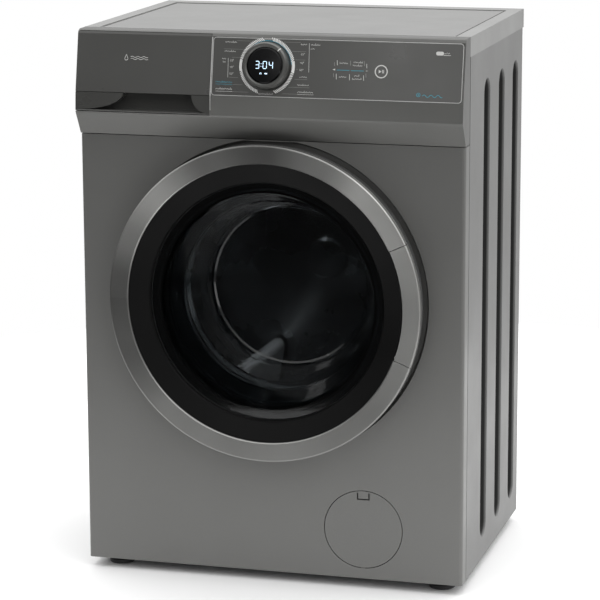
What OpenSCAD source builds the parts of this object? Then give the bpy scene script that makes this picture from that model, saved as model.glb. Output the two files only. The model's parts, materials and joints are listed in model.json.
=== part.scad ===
// Front load washing machine: a steel cabinet with a round door, a drawer in the console, and a
// drum in a plastic tub that hangs on springs. Millimetres.
// X runs to the right and Y to the back as a user faces the machine, and Z runs up. The origin is
// on the floor, under the middle of the whole outline.

/* [Cabinet] */
// Width over the side panels
body_w = 600; // [596:1:604]
// Height from the floor to the top of the lid
body_h = 850; // [848:1:856]
// Depth from the front panel to the rear panel
body_d = 430; // [430:1:440]
// Height of the cabinet's lower edge above the floor
foot_gap = 16; // [15:0.5:17]
// Thickness of the cabinet's sheet steel
sheet = 1.5; // [1.2:0.1:1.6]
// Height of the lid's edge
lid_h = 29.5; // [28:0.5:30]
// Depth of the upright beads in the side panels
bead_depth = 14; // [8:0.5:15]

/* [Console] */
// Height of the joint between the front panel and the console
seam_z = 691; // [690:0.5:692]
// How far the console's lip stands in front of the front panel
lip_out = 22; // [21:0.5:23]
// Height of the middle of the programme dial
dial_z = 803; // [801:1:804]
// Radius of the tick ring round the dial
dial_r = 43; // [42:0.5:43.5]
// How far the programme knob stands out of its fascia
knob_h = 17; // [12:0.5:20]

/* [Door] */
// Height of the door's and the drum's axis
axis_z = 446; // [445:1:447]
// Outer radius of the door's trim ring
ring_r = 243; // [242:0.5:243]
// How far the trim ring stands in front of the front panel
ring_out = 45; // [44:0.5:46]
// Width of the trim ring's face
ring_face = 29; // [28:0.5:30]
// Half of the angle that the door's pull handle covers
handle_half = 22.5; // [20:0.5:24]
// Angle from the door's axis up to the middle of the pull handle
handle_mid = 2.5; // [0:0.5:4]

/* [Drum] */
// Outer radius of the drum
drum_r = 238; // [236:0.5:239]
// Outer radius of the drum's pulley
pulley_r = 140; // [130:1:142]
// Radius of the motor's small pulley
motor_pulley_r = 10; // [9:0.5:10]

/* [Hidden] */
$fn = 64;

side_x = body_w/2;
lid_z = body_h - lid_h;
// Rear end of the hose fittings, the furthest point behind the front panel
rear_end = body_d + 22;
middle_y = (rear_end - ring_out)/2;
// Depth of the front panel's and the console's side flanges
flange_d = 27;
// Clear gap between two pieces that move, and between a piece and the one that it's screwed to
gap = 0.5;
// Open joints of the cabinet that show as dark lines
seam_gap = 1.2;
// Corner radius of the cabinet's upright front edges
edge_r = 5;

// Top of the base pan's walls
pan_top = foot_gap + 12;

// Upright beads of the side panels
bead_w = 46;
bead_bed_w = 32;
bead_low = 50;
bead_high = 775;
bead_ys = [153, 265, 375];

// Side view of the console: lip, lower and upper edge of the fascia, and rounded top edge
lip_z = seam_z + 36;
fascia_low = seam_z + 66;
fascia_high = body_h - 6;
fascia_low_y = -lip_out + 2;
fascia_high_y = -3;
fascia_t = 1.6;
// Width and corner radius of the frame round the fascia
fascia_rim = 0.9;
fascia_corner = 5;
fascia_tilt = atan((fascia_high_y - fascia_low_y)/(fascia_high - fascia_low));
drawer_x = -88;
cheek_t = 2.5;

// Door: the hinge's upright axis, the window and the bowl
hinge_x = -228;
hinge_y = -26;
hinge_span = 52;
pin_r = 4;
window_r = 183;
bowl_r = 170;
bowl_end = 118;
lip_r = 152;
porthole_r = 172;
dish_r = 246;
dish_deep = 14;
// Upright axes of the pull handle and of the latch's hook
handle_pivot = [206, -37.5];
hook_pivot = [218.5, -8];
// Ends of the slot that the hook passes through
latch_x0 = 206;
latch_x1 = 233;

// Tub, drum and drive, measured back from the front panel
tub_in = drum_r + 12;
tub_t = 4;
tub_front_y = 72;
tub_split_y = 230;
tub_back_y = 374;
drum_front_y = 112;
drum_back_y = 350;
shaft_r = 15;
bearing_r = 31;
pulley_y = 398;
pulley_w = 16;
motor_x = -120;
motor_z = 104;

// Drain pump and its filter, behind the round cover low on the right
filter_x = 145;
filter_z = 94;
filter_r = 62;

foot_r = 20;
stud_r = 4;
foot_x = side_x - 20 - foot_r;
foot_ys = [42, body_d - 34];

// ---- Outlines ----

// Points on an arc about a centre, from angle a to angle b in n steps
function arc(centre, r, a, b, n = 4) =
    [for (i = [0 : n]) centre + r*[cos(a + (b - a)*i/n), sin(a + (b - a)*i/n)]];

// A rectangle about the origin with rounded corners
function round_rect(w, h, r, n = 4) = concat(
    arc([w/2 - r, h/2 - r], r, 0, 90, n), arc([r - w/2, h/2 - r], r, 90, 180, n),
    arc([r - w/2, r - h/2], r, 180, 270, n), arc([w/2 - r, r - h/2], r, 270, 360, n));

function unit(v) = v/norm(v);
function left_of(v) = [-v[1], v[0]];

// A path moved sideways by t, to the left of the way it runs
function beside(path, t) = let (last = len(path) - 1)
    [for (i = [0 : last])
        let (ahead = left_of(unit(path[min(i + 1, last)] - path[min(i, last - 1)])),
             behind = left_of(unit(path[max(i, 1)] - path[max(i - 1, 0)])),
             way = unit(ahead + behind))
        path[i] + way*t/(way*ahead)];

// The outline of a sheet of thickness t bent along a path
function bent_sheet(path, t) = let (other = beside(path, t), last = len(path) - 1)
    concat(path, [for (i = [0 : last]) other[last - i]]);

// ---- Placing ----

// Takes a shape whose Y is counted from the front panel's face
module from_panel() { translate([0, -middle_y, 0]) children(); }

// Stands a shape up to face forward: its Y becomes up, and its Z comes forward
module facing(x, y, z) { translate([x, y, z]) rotate([90, 0, 0]) children(); }

// Lies a shape along X from x0: its own X runs back and its own Y runs up
module along_x(x0, length) {
    translate([x0, 0, 0]) rotate([90, 0, 90]) linear_extrude(length) children();
}

// Turns an outline of [radius, height in front of the front panel] about the door's axis
module round_door(outline) { facing(0, 0, axis_z) rotate_extrude() polygon(outline); }

module block(low, high) { translate(low) cube(high - low); }

// Y of the fascia's face at a height
function fascia_y(z) = fascia_low_y + (z - fascia_low)*tan(fascia_tilt);

// Puts a shape on the fascia's face: its Z comes out of the face, and its Y runs up it
module on_fascia(x, z) {
    translate([x, fascia_y(z), z]) rotate([90 - fascia_tilt, 0, 0]) children();
}

// ---- Cabinet ----

// One upright bead, with round sloping ends, between two depths
module bead_form(top_r, bed_r, top, bed) {
    half = (bead_high - bead_low - bead_w)/2;
    for (end = [0, 1])
        mirror([0, end, 0]) translate([0, half, 0]) rotate_extrude(angle = 180)
            polygon([[0, top], [top_r, top], [bed_r, bed], [0, bed]]);
    translate([0, half, 0]) rotate([90, 0, 0]) linear_extrude(2*half)
        polygon([[-top_r, top], [top_r, top], [bed_r, bed], [-bed_r, bed]]);
}

module bead_at(y) {
    translate([-side_x, y, (bead_low + bead_high)/2]) rotate([90, 0, 90]) children();
}

module side_sheet() {
    rim = 16;
    y0 = flange_d + 2*seam_gap;
    difference() {
        union() {
            block([-side_x, y0, foot_gap], [sheet - side_x, body_d, lid_z]);
            block([-side_x, body_d - sheet, foot_gap], [rim - side_x, body_d, lid_z]);
            block([-side_x, y0, pan_top + 1], [rim - side_x, y0 + sheet, seam_z]);
            for (y = bead_ys)
                bead_at(y) bead_form(bead_w/2 + sheet, bead_bed_w/2 + sheet, 0, bead_depth + sheet);
        }
        for (y = bead_ys) bead_at(y) bead_form(bead_w/2, bead_bed_w/2, 0, bead_depth);
    }
}

module side_panel_left() { color("#939393") from_panel() side_sheet(); }
module side_panel_right() { color("#939393") from_panel() mirror([1, 0, 0]) side_sheet(); }

// Folded sheet with a dished porthole, a hole for the filter cover and a slot for the latch
module front_panel() {
    half = concat([[side_x, flange_d]], arc([side_x - edge_r, edge_r], edge_r, 0, -90, 3));
    left = [for (p = half) [-p[0], p[1]]];
    right = [for (i = [len(half) - 1 : -1 : 0]) half[i]];
    dish = [[dish_r + 4, 0], [dish_r, 0], [dish_r - 5, -dish_deep], [porthole_r + 3, -dish_deep],
        [porthole_r, -dish_deep - 3], [porthole_r, -dish_deep - 12]];
    color("#6a6a68") from_panel() difference() {
        union() {
            difference() {
                translate([0, 0, foot_gap]) linear_extrude(seam_z - seam_gap - foot_gap)
                    polygon(bent_sheet(concat(left, right), sheet));
                facing(0, 10, axis_z) cylinder(r = dish_r + 1, h = 20);
                facing(filter_x, 10, filter_z) cylinder(r = filter_r, h = 20);
            }
            intersection() {
                round_door(bent_sheet(dish, sheet));
                block([-side_x, -5, 0], [side_x, 50, seam_z - seam_gap]);
            }
            for (z = [foot_gap, seam_z - seam_gap - sheet])
                block([2 - side_x, 1, z], [side_x - 2, flange_d - 3, z + sheet]);
        }
        block([latch_x0, dish_deep - 2, axis_z - 14], [latch_x1, dish_deep + 4, axis_z + 14]);
    }
}

rear_hole_x = 150;
rear_hole_low = 250;
rear_hole_high = 660;
cover_bulge = 12;
transit_r = 9;
transit_x = 210;
transit_low = 330;
transit_high = 600;

module rear_panel() {
    color("#8c8c8a") from_panel() difference() {
        block([1 - side_x, body_d + 0.1, 30], [side_x - 1, body_d + 0.1 + sheet, lid_z - 3]);
        block([-rear_hole_x, body_d - 5, rear_hole_low], [rear_hole_x, body_d + 5, rear_hole_high]);
        for (x = [-transit_x, transit_x], z = [transit_low, transit_high])
            facing(x, body_d + 5, z) cylinder(r = transit_r, h = 10);
        facing(valve_x, body_d + 5, valve_z) cylinder(r = 16, h = 10);
        facing(225, body_d + 5, 775) cylinder(r = 9.2, h = 10);
        facing(215, body_d + 5, 150) cylinder(r = 13.2, h = 10);
    }
}

// Shallow pressed cover over the pulley and belt
module rear_cover() {
    flat_y = body_d + sheet + 0.1;
    wide = 2*rear_hole_x + 30;
    tall = rear_hole_high - rear_hole_low + 30;
    mid_z = (rear_hole_low + rear_hole_high)/2;
    color("#8c8c8a") from_panel() difference() {
        union() {
            facing(0, flat_y + sheet, mid_z) linear_extrude(sheet) polygon(round_rect(wide, tall, 12));
            facing(0, flat_y + cover_bulge, mid_z) linear_extrude(cover_bulge)
                polygon(round_rect(wide - 36, tall - 36, 30));
        }
        facing(0, flat_y + cover_bulge - sheet, mid_z) linear_extrude(cover_bulge)
            polygon(round_rect(wide - 36 - 2*sheet, tall - 36 - 2*sheet, 30 - sheet));
        for (z = [0 : 5])
            facing(0, flat_y + cover_bulge + 1, mid_z - 100 + 40*z) linear_extrude(5)
                polygon(round_rect(120, 8, 3.9));
    }
}

module base_pan() {
    color("#33353a") from_panel() difference() {
        block([4 - side_x, 4, foot_gap + 2], [side_x - 4, body_d - 4, pan_top]);
        block([7 - side_x, 7, foot_gap + 5], [side_x - 7, body_d - 7, foot_gap + 30]);
        for (x = [-foot_x, foot_x], y = foot_ys) translate([x, y, 0]) cylinder(r = stud_r + 0.08, h = 60);
    }
}

// ---- Lid ----

lid_back = body_d + 9;
board_margin = 26;
board_y0 = flange_d + 9;
board_y1 = lid_back - 36;
groove = 4;

module lid_frame() {
    color("#bcbcbc") from_panel() difference() {
        block([-side_x, flange_d, lid_z], [side_x, lid_back, body_h]);
        block([3 - side_x, flange_d + 3, lid_z - 1], [side_x - 3, lid_back - 3, body_h - 12]);
        block([board_margin - groove - side_x, board_y0 - groove, body_h - 9],
            [side_x - board_margin + groove, board_y1 + groove, body_h + 1]);
    }
}

module lid_board() {
    color("#ababab") from_panel()
        block([board_margin - side_x, board_y0, body_h - 9], [side_x - board_margin, board_y1, body_h - 1]);
}

crossbar_ys = [194, 345];

// Two channels that tie the side panels together and carry the springs
module crossbars() {
    channel = bent_sheet([[0, 0], [0, -22], [30, -22], [30, 0]], -sheet);
    inside = side_x - bead_depth - 3;
    color("#7c7e80") from_panel() for (y = crossbar_ys)
        translate([0, y, lid_z - 2]) along_x(-inside, 2*inside) polygon(channel);
}

// ---- Console ----

// Outer side view of the console from the seam up to the lid, set in by t
function console_face(t) = [[flange_d - gap, seam_z], [t, seam_z], [t - lip_out + 1, lip_z - 2],
    [t - lip_out, lip_z + 1], [fascia_low_y + t, fascia_low], [fascia_high_y + t, fascia_high],
    [t + 0.5, body_h - 1.8], [t + 5, body_h - 0.2], [flange_d - gap, body_h - 0.2]];

module console_body() {
    wall = 2.5;
    face = console_face(0);
    inner = beside(face, -wall);
    color("#5f5f5d") from_panel() difference() {
        along_x(-side_x, body_w) polygon(face);
        // hollow, open to the back
        along_x(cheek_t - side_x, body_w - 2*cheek_t)
            polygon([[flange_d + 1, seam_z + wall], each [for (i = [1 : 7]) inner[i]],
                [flange_d + 1, body_h - 0.2 - wall]]);
        // room for the drawer's front
        along_x(-side_x - 1, side_x + drawer_x + 1 + gap) polygon([[-lip_out - 5, lip_z + 0.5],
            [4, lip_z + 0.5], [4, body_h - 2.2], [-2, body_h - 2.2], [-lip_out - 5, fascia_high]]);
        // seat of the fascia
        along_x(drawer_x + 2, side_x - drawer_x - 2 - cheek_t) polygon([
            [fascia_low_y - 5, fascia_low], [fascia_low_y + fascia_t, fascia_low + 0.5],
            [fascia_high_y + fascia_t, fascia_high], [fascia_high_y - 5, fascia_high]]);
        on_fascia((drawer_x + side_x)/2, (fascia_low + fascia_high)/2)
            block([-172, -34, -12], [172, 34, 5]);
        // slot of the line beside the drawer
        along_x(drawer_x + gap - 0.5, 2.5) polygon(drawer_trim_form(0.3));
    }
}

// Outline of the fascia, set in by t, as a plate from one depth to another
module fascia_plate(t, back, front) {
    x0 = drawer_x + gap + 2.3;
    x1 = side_x - cheek_t - gap;
    low = fascia_low + 0.95;
    high = fascia_high - 0.4;
    on_fascia((x0 + x1)/2, (low + high)/2) translate([0, 0, back]) linear_extrude(front - back)
        polygon(round_rect(x1 - x0 - 2*t, (high - low)/cos(fascia_tilt) - 2*t, fascia_corner - t));
}

module control_fascia() {
    color("#4d4d4b") from_panel() difference() {
        fascia_plate(fascia_rim + 0.1, 0.15 - fascia_t, 0);
        on_fascia(0, dial_z) translate([0, 0, -5]) cylinder(r = 24, h = 10);
    }
}

// Side view of the line beside the drawer, from the lip up to the lid, grown by t
function drawer_trim_form(t) = bent_sheet(beside([[1 - lip_out, lip_z + 3 - t], [fascia_low_y, fascia_low],
    [fascia_y(fascia_high - 0.6), fascia_high - 0.6 + t]], 0.4 + t), -2.4 - 2*t);

// Bright line down the joint beside the drawer, and the thin frame round the fascia
module fascia_trim() {
    color("#c9c9c7") from_panel() {
        along_x(drawer_x + gap + 0.2, 1.6) polygon(drawer_trim_form(0));
        difference() {
            fascia_plate(0, 0.15 - fascia_t, 0);
            fascia_plate(fascia_rim, -fascia_t, 1);
        }
    }
}

knob_r = 36;
lens_r = 27;

// Raised ring of ticks, open at the top and the bottom
module dial_ring() {
    color("#b9b9b7") from_panel() on_fascia(0, dial_z) for (side = [0, 180])
        rotate([0, 0, side - 90 + 10]) rotate_extrude(angle = 160)
            polygon([[dial_r - 6, 0.02], [dial_r, 0.02], [dial_r - 1, 1.5], [dial_r - 5.4, 1.5]]);
}

module display_lens() {
    color("#0c0c0e") from_panel() on_fascia(0, dial_z) rotate_extrude() polygon([
        [0, -9], [23.6, -9], [23.6, 2], [lens_r - 1, 2], [lens_r, 3], [lens_r, knob_h - 2.5],
        [lens_r - 2, knob_h - 1.5], [0, knob_h - 1]]);
}

// Hollow ring that turns round the fixed display
module programme_knob() {
    color("#8d8d8b") from_panel() on_fascia(0, dial_z) rotate_extrude() polygon([
        [lens_r + gap, 0.6], [knob_r - 0.5, 0.6], [knob_r, 1.2], [knob_r - 1.2, knob_h - 3],
        [knob_r - 3.5, knob_h], [lens_r + 2.5, knob_h], [lens_r + gap, knob_h - 2]]);
}

// Circuit board with its relays, its touch springs and the dial's encoder
module control_board() {
    color("#1f5c3a") from_panel() on_fascia(100, dial_z) {
        block([-150, -28, -18], [170, 28, -16.4]);
        for (i = [0 : 3]) block([40 + 28*i, -12, -26], [60 + 28*i, 12, -18]);
        for (x = [5, 30], y = [-8, 8]) translate([x, y, -16.4]) cylinder(r = 3, h = 4);
        translate([-100, 0, -16.4]) cylinder(r = 14, h = 7.2);
    }
}

// ---- Detergent drawer ----

tray_x0 = -262;
tray_x1 = -104;
tray_z0 = seam_z + 46;
tray_z1 = seam_z + 100;
tray_end = 300;
valve_x = -205;
valve_z = tray_z1 - 16;

// Face of the drawer, with a scooped grip under its upper part
module drawer_front() {
    x0 = -side_x;
    wide = drawer_x - x0;
    side_view = [[1 - lip_out, lip_z + 1.2], [-lip_out, lip_z + 3], [fascia_low_y, fascia_low],
        [fascia_high_y, fascia_high], [-1.5, body_h - 2.8], [3, body_h - 2.8], [3, lip_z + 1.2]];
    low = lip_z + 4;
    tall = fascia_low - low;
    grip = concat([for (a = [0 : 15 : 90]) [x0 + 6 + 70*sin(a), fascia_low - tall*cos(a)]],
        [for (a = [90 : -15 : 0]) [drawer_x - 4 - 24*sin(a), fascia_low - tall*cos(a)]]);
    color("#4d4d4b") from_panel() difference() {
        along_x(x0, wide) polygon(side_view);
        facing(0, -1, 0) linear_extrude(40) polygon(grip);
        along_x(x0 - 1, wide + 2) polygon([[fascia_low_y - 3, fascia_low - 0.4],
            [fascia_low_y + 1.2, fascia_low - 0.4], [fascia_low_y + 1.2, fascia_low + 0.8],
            [fascia_low_y - 3, fascia_low + 0.8]]);
        along_x(x0 + 3, wide - 6) polygon([[fascia_low_y + 3.5, fascia_low + 4],
            [fascia_high_y + 2.5, fascia_high - 6], [4, fascia_high - 6], [4, fascia_low + 4]]);
    }
}

// Tray with three compartments, clipped to the drawer's front
module drawer_tray() {
    wall = 2;
    third = (tray_x1 - tray_x0)/3;
    color("#dfe2e4") from_panel() difference() {
        block([tray_x0, 3, tray_z0], [tray_x1, tray_end, tray_z1]);
        for (i = [0 : 2])
            block([tray_x0 + third*i + wall, 6, tray_z0 + wall],
                [tray_x0 + third*(i + 1) - wall/2, tray_end - wall, tray_z1 + 1]);
    }
}

// Lift-out cap of the softener compartment
module siphon_cap() {
    third = (tray_x1 - tray_x0)/3;
    color("#3d6fb0") from_panel()
        block([tray_x0 + third + 3, 190, tray_z1 - 14], [tray_x0 + 2*third - 2.5, 290, tray_z1 - 4]);
}

// Box that the drawer runs in, with a spray roof fed by the inlet valve
module drawer_housing() {
    air = 1.2;
    wall = 2.2;
    color("#c9cdd0") from_panel() difference() {
        union() {
            block([tray_x0 - air - wall, 8, tray_z0 - air - wall],
                [tray_x1 + air + wall, tray_end + 12, tray_z1 + 4]);
            translate([valve_x, tray_end + 11, valve_z]) rotate([-90, 0, 0]) cylinder(r = 8, h = 80);
        }
        block([tray_x0 - air, 7, tray_z0 - air], [tray_x1 + air, tray_end + 9, tray_z1 + 1.5]);
    }
}

// ---- Connections at the back ----

thread_r = 13.2;
spigot_r = 11;

// Water valve with its 3/4 inch threaded stub
module inlet_valve() {
    color("#e8e8e6") from_panel() difference() {
        union() {
            facing(valve_x, rear_end, valve_z) cylinder(r = thread_r, h = 40);
            block([valve_x - 19, body_d - 38, valve_z - 18], [valve_x + 19, body_d - 2, valve_z + 22]);
        }
        facing(valve_x, rear_end + 1, valve_z) cylinder(r = 9, h = 30);
        facing(valve_x, body_d - 30, valve_z) cylinder(r = 8.1, h = 30);
    }
}

// Outlet stub that the drain hose is clamped on
module drain_outlet() {
    color("#5a5c60") from_panel() facing(215, rear_end, 150) rotate_extrude() polygon([
        [8, 0], [spigot_r - 1, 0], [spigot_r, 2], [spigot_r, 17], [18, 17], [18, 20], [13, 20],
        [13, 22.4], [18, 22.4], [18, 25], [13, 25], [13, 60], [8, 60]]);
}

// Gland of the mains lead
module cable_gland() {
    color("#1c1c1e") from_panel() facing(225, rear_end - 6, 775) rotate_extrude() polygon([
        [3.6, 0], [6, 0], [8, 11.5], [13, 11.5], [13, 14], [9, 14], [9, 16.4], [12, 16.4], [12, 18],
        [9, 18], [9, 20], [3.6, 20]]);
}

// Screws of the rear cover and the lid, and the lock nuts on the feet's studs
module fasteners() {
    cover_w = 2*rear_hole_x + 16;
    color("#b4b6b8") from_panel() {
        for (x = [-cover_w/2, cover_w/2], z = [rear_hole_low + 20, 455, rear_hole_high - 20])
            facing(x, body_d + 2*sheet + 3.2, z) cylinder(r = 5, h = 3);
        for (x = [-280, 280], z = [60, 300, 560, 790])
            facing(x, body_d + sheet + 3.2, z) cylinder(r = 5, h = 3);
        for (x = [-foot_x, foot_x], y = foot_ys) translate([x, y, foot_gap - 6]) difference() {
            cylinder(r = 8.5, h = 7.8, $fn = 6);
            translate([0, 0, -1]) cylinder(r = stud_r + 0.08, h = 12, $fn = 64);
        }
    }
}

// ---- Door ----

ring_in = ring_r - ring_face;
ring_deep = 30;

// Wedge about the door's axis that covers the pull handle's angle, widened by a few degrees
module handle_wedge(extra) {
    a = handle_half + extra;
    facing(0, 60, axis_z) rotate([0, 0, handle_mid]) linear_extrude(140)
        polygon([[0, 0], [400*cos(a), -400*sin(a)], [400*cos(a), 400*sin(a)]]);
}

// Face ring: a dull metal face that slopes a little inwards, with a narrow rounded outer edge
ring_edge = 2.5;
ring_section = concat([[ring_in, ring_deep], [ring_in, ring_out - 4], [ring_in + 1.5, ring_out - 2.5]],
    arc([ring_r - ring_edge, ring_out - ring_edge], ring_edge, 90, 0, 3),
    [[ring_r - 1, ring_deep], [ring_r - 4, ring_deep], [ring_r - 3.5, ring_out - 8],
     [ring_r - 9, ring_out - 4], [ring_in + 4, ring_out - 6.5], [ring_in + 3, ring_deep]]);

// Height of the pull handle's end on its pivot's axis; end is 1 at the top and -1 at the bottom
function handle_end_z(end) = axis_z + handle_pivot[0]*tan(handle_mid + end*handle_half);

// Stub pin across one end of the handle
module handle_pin(end, pin_len, r) {
    translate([handle_pivot[0], handle_pivot[1], handle_end_z(end) - pin_len/2]) cylinder(r = r, h = pin_len);
}

// Lug for a stub pin; side is 1 in the trim ring and -1 in the handle
module handle_lug(end, side) {
    z = handle_end_z(end) + side*end*5.5;
    block([handle_pivot[0] - 2.9, handle_pivot[1] - 4.5, z - 2.5],
        [handle_pivot[0] + 3.5, handle_pivot[1] + 4, z + 2.5]);
}

// Room that the hinge's knuckles need in the door
module hinge_room() {
    for (s = [-1, 1])
        block([-260, -36, axis_z + s*hinge_span - 14], [-194, 20, axis_z + s*hinge_span + 14]);
}

module door_trim_ring() {
    color("#8a8a88") from_panel() difference() {
        union() {
            difference() {
                round_door(ring_section);
                handle_wedge(0.13);
            }
            for (end = [-1, 1]) handle_lug(end, 1);
        }
        for (end = [-1, 1]) handle_pin(end, pin_len = 30, r = 2.06);
        hinge_room();
    }
}

// The ring's right segment, a lever that is pulled by its outer edge and turns on two stub pins
module door_handle() {
    color("#8a8a88") from_panel() {
        difference() {
            intersection() {
                round_door(ring_section);
                handle_wedge(-0.12);
            }
            facing(0, 0, axis_z) cylinder(r = ring_in + 1.2, h = 60);
        }
        for (end = [-1, 1]) {
            handle_lug(end, -1);
            handle_pin(end, pin_len = 14, r = 2);
        }
    }
}

// Black gloss frame between the trim ring and the bowl
module door_inner_frame() {
    outer = ring_in - gap;
    color("#131313") from_panel() round_door(bent_sheet([[outer, 28], [outer, ring_out - 5],
        [outer - 3, ring_out - 6], [window_r + 2, 30], [window_r, 27], [window_r, 22]], 2.5));
}

// Thick glass bowl that pushes the washing back into the drum
module glass_bowl() {
    color([0.16, 0.17, 0.18, 0.5]) from_panel() round_door(bent_sheet(concat(
        [[window_r - 1, 16], [bowl_r, 16], [bowl_r - 4, 6], [lip_r - 1, -38], [lip_r - 6, -60],
         [lip_r - 11.5, -80], [lip_r - 18.5, 18 - bowl_end], [lip_r - 20.5, 10 - bowl_end],
         [lip_r - 24, 3 - bowl_end], [lip_r - 29, -bowl_end], [0, -bowl_end]]), -4));
}

// Rear half of the door, which clamps the bowl's rim and carries the hinge and the latch
module door_back_frame() {
    rim = [[ring_r - 3, ring_deep - gap], [ring_r - 8, 2], [ring_r - 11, -4], [bowl_r + 12, -4],
        [bowl_r + 5, 2], [bowl_r + 6, 13], [window_r + 8, 13]];
    color("#1a1a1a") from_panel() difference() {
        union() {
            round_door(bent_sheet(rim, 2.5));
            for (a = [20 : 45 : 335]) facing(0, -11, axis_z) rotate([0, 0, a]) translate([201, 0, -16])
                cylinder(r = 5, h = 15);
        }
        hinge_room();
        block([latch_x0 + 1, -6, axis_z - 16], [latch_x1 - 2, 8, axis_z + 16]);
    }
    // lugs and pin of the latch's hook
    color("#1a1a1a") from_panel() translate([hook_pivot[0], hook_pivot[1], axis_z]) {
        for (s = [-1, 1]) block([-4.5, -4, s*18.5 - 1.5], [4.5, 13, s*18.5 + 1.5]);
        translate([0, 0, -20]) cylinder(r = 2, h = 40);
    }
}

// Steel plate screwed in the door, with the two knuckles that turn on the hinge's pin
module hinge_arm() {
    color("#a9abad") from_panel() difference() {
        union() {
            for (s = [-1, 1]) {
                translate([hinge_x, hinge_y, axis_z + s*(hinge_span - 22) - 5]) cylinder(r = 7.5, h = 10);
                block([hinge_x, hinge_y + 3, axis_z + s*(hinge_span - 22) - 5],
                    [-206, hinge_y + 7.5, axis_z + s*(hinge_span - 22) + 5]);
            }
            block([hinge_x + 10, hinge_y + 3, axis_z - 37], [-211, hinge_y + 7.5, axis_z + 37]);
            block([-214, hinge_y + 7, axis_z - 37], [-211, 4, axis_z + 37]);
            block([-214, 1, axis_z - 37], [-196, 4, axis_z + 37]);
        }
        translate([hinge_x, hinge_y, 0]) cylinder(r = pin_r + 0.06, h = 700);
    }
}

// Bracket in the porthole's dish, with its pin
module hinge_bracket() {
    foot_y = dish_deep;
    color("#a9abad") from_panel() {
        block([-216, foot_y - 3, axis_z - 66], [-186, foot_y, axis_z + 66]);
        for (s = [-1, 1]) translate([0, 0, axis_z + s*hinge_span - 4]) linear_extrude(8) polygon([
            [-206, foot_y - 3], [-196, foot_y - 3], [hinge_x + 5, hinge_y - 4], [hinge_x, hinge_y - 7],
            [hinge_x - 6, hinge_y - 2], [hinge_x - 4, hinge_y + 5]]);
        translate([hinge_x, hinge_y, axis_z - hinge_span]) cylinder(r = pin_r, h = 2*hinge_span);
    }
}

// Hook that the pull handle turns to free the door
module latch_hook() {
    color("#c4c6c8") from_panel() difference() {
        translate([0, 0, axis_z - 8]) linear_extrude(16) polygon([
            [214.5, -12], [222.5, -12], [222.5, 20], [228, 22], [226, 28], [217, 29], [215, 22]]);
        translate([hook_pivot[0], hook_pivot[1], axis_z - 20]) cylinder(r = 2.06, h = 40);
    }
}

// Door lock behind the porthole's dish, with the hook's slot
module door_lock() {
    back = dish_deep + sheet;
    color("#e4e2dc") from_panel() difference() {
        block([latch_x0 - 4, back + 0.2, axis_z - 32], [latch_x1 + 14, back + 18, axis_z + 32]);
        block([latch_x0 + 0.5, back - 1, axis_z - 13], [latch_x1 - 0.5, back + 15, axis_z + 13]);
    }
}

// ---- Gasket and tub ----

// Rubber bellows from the porthole's rim to the tub's neck, with a lip that seals on the bowl
module gasket() {
    color("#6f7276") from_panel() round_door(bent_sheet([[porthole_r - 2.8, -13], [porthole_r - 2.8, -30],
        [lip_r + 1, -36], [lip_r + 0.2, -40], [lip_r + 2, -43], [porthole_r, -46], [porthole_r + 4, -50],
        [porthole_r + 2, -55], [neck_r + 2, -58], [neck_r + 0.3, -61], [neck_r + 0.3, -67]], 2.5));
}

// Outer radius of the tub's neck
neck_r = 164;

// Spring wire that holds the gasket in the porthole
module gasket_clamp() {
    color("#b9bbbd") from_panel() round_door(arc([porthole_r - 4.7, -20], 1.6, 0, 315, 7));
}

sump_x = 120;
sump_y = 100;
sump_low = 200;

module tub_front() {
    color("#b4b8ba") from_panel() difference() {
        union() {
            round_door(bent_sheet([[neck_r - 4, 3 - 61], [neck_r - 4, -tub_front_y], [tub_in, -tub_front_y],
                [tub_in, gap - tub_split_y]], tub_t));
            round_door([[tub_in + 1, 8 - tub_split_y], [tub_in + 16, 8 - tub_split_y],
                [tub_in + 16, gap - tub_split_y], [tub_in + 1, gap - tub_split_y]]);
            for (s = [-1, 1]) block([s*252 - 30, 202, 556], [s*252 + 30, 214, 564]);
            translate([sump_x, sump_y, sump_low]) cylinder(r = 13, h = 60);
        }
        facing(0, tub_split_y + 1, axis_z) cylinder(r = tub_in, h = tub_split_y - tub_front_y + 1);
        translate([sump_x, sump_y, sump_low - 1]) cylinder(r = 10, h = 80);
    }
}

trough_w = 104;
trough_low = axis_z - tub_in - 30;

module tub_rear() {
    back = tub_back_y + tub_t;
    color("#b4b8ba") from_panel() difference() {
        union() {
            facing(0, back, axis_z) cylinder(r = tub_in + tub_t, h = back - tub_split_y);
            facing(0, tub_split_y + 8, axis_z) cylinder(r = tub_in + 16, h = 8);
            facing(0, back + 24, axis_z) cylinder(r = bearing_r + 15, h = 40);
            block([-trough_w/2, tub_split_y + 14, trough_low], [trough_w/2, back, axis_z - 200]);
            for (a = [22.5 : 45 : 340]) facing(0, back + 10, axis_z) rotate([0, 0, a])
                translate([30, -2, 0]) cube([tub_in - 34, 4, 12]);
        }
        facing(0, tub_back_y, axis_z) cylinder(r = tub_in, h = tub_back_y - tub_split_y + 1);
        block([3 - trough_w/2, tub_split_y + 17, trough_low + 3], [trough_w/2 - 3, tub_back_y, axis_z - 200]);
        facing(0, back + 30, axis_z) cylinder(r = bearing_r + 0.02, h = 60);
        block([-24, tub_back_y - 1, trough_low + 6], [24, back + 1, trough_low + 24]);
    }
}

// Ballast ring screwed on the tub's front
module counterweight_front() {
    color("#8b8b86") from_panel() round_door([[192, 4 - tub_front_y + 0.3], [244, 4 - tub_front_y + 0.3],
        [244, 34 - tub_front_y], [236, 38 - tub_front_y], [200, 38 - tub_front_y], [192, 34 - tub_front_y]]);
}

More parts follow.
